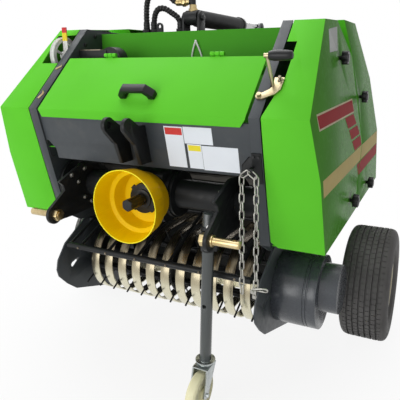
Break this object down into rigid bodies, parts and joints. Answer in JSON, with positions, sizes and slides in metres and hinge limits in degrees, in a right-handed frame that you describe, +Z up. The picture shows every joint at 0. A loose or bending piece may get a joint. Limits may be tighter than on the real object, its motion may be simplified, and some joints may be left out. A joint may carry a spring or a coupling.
{
  "type": "mini round baler",
  "caption": "Compact round baler with green side covers, twine box and lid, pickup reel with steel bands, tailgate, two tyres and a caster stand.",
  "frame": {"origin": "on the ground, under the middle of the machine's length and width", "axes": "+Z up, -Y towards the tractor, +X to the side that carries the stand and the pickup drive"},
  "size_m": [1.339, 1.0985, 1.2507],
  "materials": {
    "green_paint": "gloss",
    "frame_grey": "satin",
    "black_paint": "satin",
    "roller_steel": "matte",
    "zinc": "satin",
    "yellow_zinc": "satin",
    "yellow_plastic": "gloss",
    "cream_paint": "satin",
    "cream_plastic": "satin",
    "tyre_rubber": "matte",
    "hose_rubber": "matte",
    "black_plastic": "satin",
    "chrome": "gloss"
  },
  "bodies": {
    "frame": {"side_plate_left": "frame_grey", "side_plate_right": "frame_grey", "front_rollers": "roller_steel", "front_panel": "frame_grey", "toplink_ears": "black_paint", "twine_box": "green_paint", "lid_rail": "green_paint", "front_cover_left": "green_paint", "front_cover_right": "green_paint", "front_cover_knobs": "black_plastic", "top_beam": "black_paint", "hose_feed": "hose_rubber", "hose_return": "hose_rubber", "gearbox": "black_paint", "pto_shield": "yellow_plastic", "shaft_tube_left": "black_paint", "shaft_tube_right": "black_paint", "hitch_plate_left": "black_paint", "hitch_plate_right": "black_paint", "hitch_pin_left": "yellow_zinc", "hitch_pin_right": "yellow_zinc", "axle_beam": "frame_grey", "pickup_side_left": "frame_grey", "pickup_side_right": "frame_grey", "pickup_bands": "zinc", "pickup_drum": "frame_grey", "safety_chains": "zinc", "hand_crank": "zinc", "twine_pulley": "cream_plastic", "bale_indicator": "yellow_zinc", "twine_guide": "black_paint", "pickup_pan": "black_paint"},
    "lid": {"twine_lid": "green_paint", "lid_handle": "black_plastic"},
    "input_shaft": {"pto_shaft": "roller_steel"},
    "pickup_reel": {"tine_reel": "black_paint"},
    "crop_guard": {"wind_guard": "black_paint"},
    "tailgate": {"tail_plate_left": "frame_grey", "tail_plate_right": "frame_grey", "tail_beam": "frame_grey", "tail_rollers": "roller_steel", "tail_cover_left": "green_paint", "tail_cover_right": "green_paint", "tail_cover_knobs": "black_plastic"},
    "lift_barrel": {"cylinder_barrel": "black_paint"},
    "lift_rod": {"cylinder_rod": "chrome"},
    "wheel_left": {"tyre_left": "tyre_rubber", "rim_left": "cream_paint"},
    "wheel_right": {"tyre_right": "tyre_rubber", "rim_right": "cream_paint"},
    "stand_leg": {"jockey_leg": "black_paint"},
    "stand_fork": {"caster_fork": "zinc"},
    "stand_wheel": {"caster_wheel": "cream_plastic"}
  },
  "joints": [
    {"name": "lid_hinge", "type": "hinge", "parent": "frame", "child": "lid", "pos_m": [0, -0.30289, 1.01892], "axis": [-1, 0, 0], "range_deg": [0, 150]},
    {"name": "input_spin", "type": "hinge", "parent": "frame", "child": "input_shaft", "pos_m": [0, -0.50075, 0.606], "axis": [0, -1, 0], "continuous": true},
    {"name": "reel_spin", "type": "hinge", "parent": "frame", "child": "pickup_reel", "pos_m": [0, -0.19775, 0.305], "axis": [1, 0, 0], "continuous": true},
    {"name": "guard_pivot", "type": "hinge", "parent": "frame", "child": "crop_guard", "pos_m": [0, -0.16275, 0.495], "axis": [-1, 0, 0], "range_deg": [0, 18]},
    {"name": "tailgate_hinge", "type": "hinge", "parent": "frame", "child": "tailgate", "pos_m": [0, 0.03725, 1.08], "axis": [1, 0, 0], "range_deg": [0, 65]},
    {"name": "barrel_pivot", "type": "hinge", "parent": "frame", "child": "lift_barrel", "pos_m": [0, -0.09275, 1.139], "axis": [1, 0, 0], "range_deg": [0, 54.1]},
    {"name": "rod_slide", "type": "slide", "parent": "lift_barrel", "child": "lift_rod", "axis": [0, -1, 0], "range_m": [0, 0.121]},
    {"name": "wheel_left_spin", "type": "hinge", "parent": "frame", "child": "wheel_left", "pos_m": [-0.587, 0.15025, 0.202], "axis": [1, 0, 0], "continuous": true},
    {"name": "wheel_right_spin", "type": "hinge", "parent": "frame", "child": "wheel_right", "pos_m": [0.587, 0.15025, 0.202], "axis": [1, 0, 0], "continuous": true},
    {"name": "leg_slide", "type": "slide", "parent": "frame", "child": "stand_leg", "axis": [0.0454, 0, 0.999], "range_m": [0, 0.11]},
    {"name": "fork_swivel", "type": "hinge", "parent": "stand_leg", "child": "stand_fork", "pos_m": [0.21297, -0.45275, 0.155], "axis": [0.0454, 0, 0.999], "continuous": true},
    {"name": "caster_spin", "type": "hinge", "parent": "stand_fork", "child": "stand_wheel", "pos_m": [0.20879, -0.48675, 0.06289], "axis": [0.999, 0, -0.0454], "continuous": true}
  ],
  "couplings": [
    {"joint": "barrel_pivot", "follows": "tailgate_hinge", "ratio": 0.831},
    {"joint": "rod_slide", "follows": "tailgate_hinge", "m_per_rad": 0.1063}
  ]
}
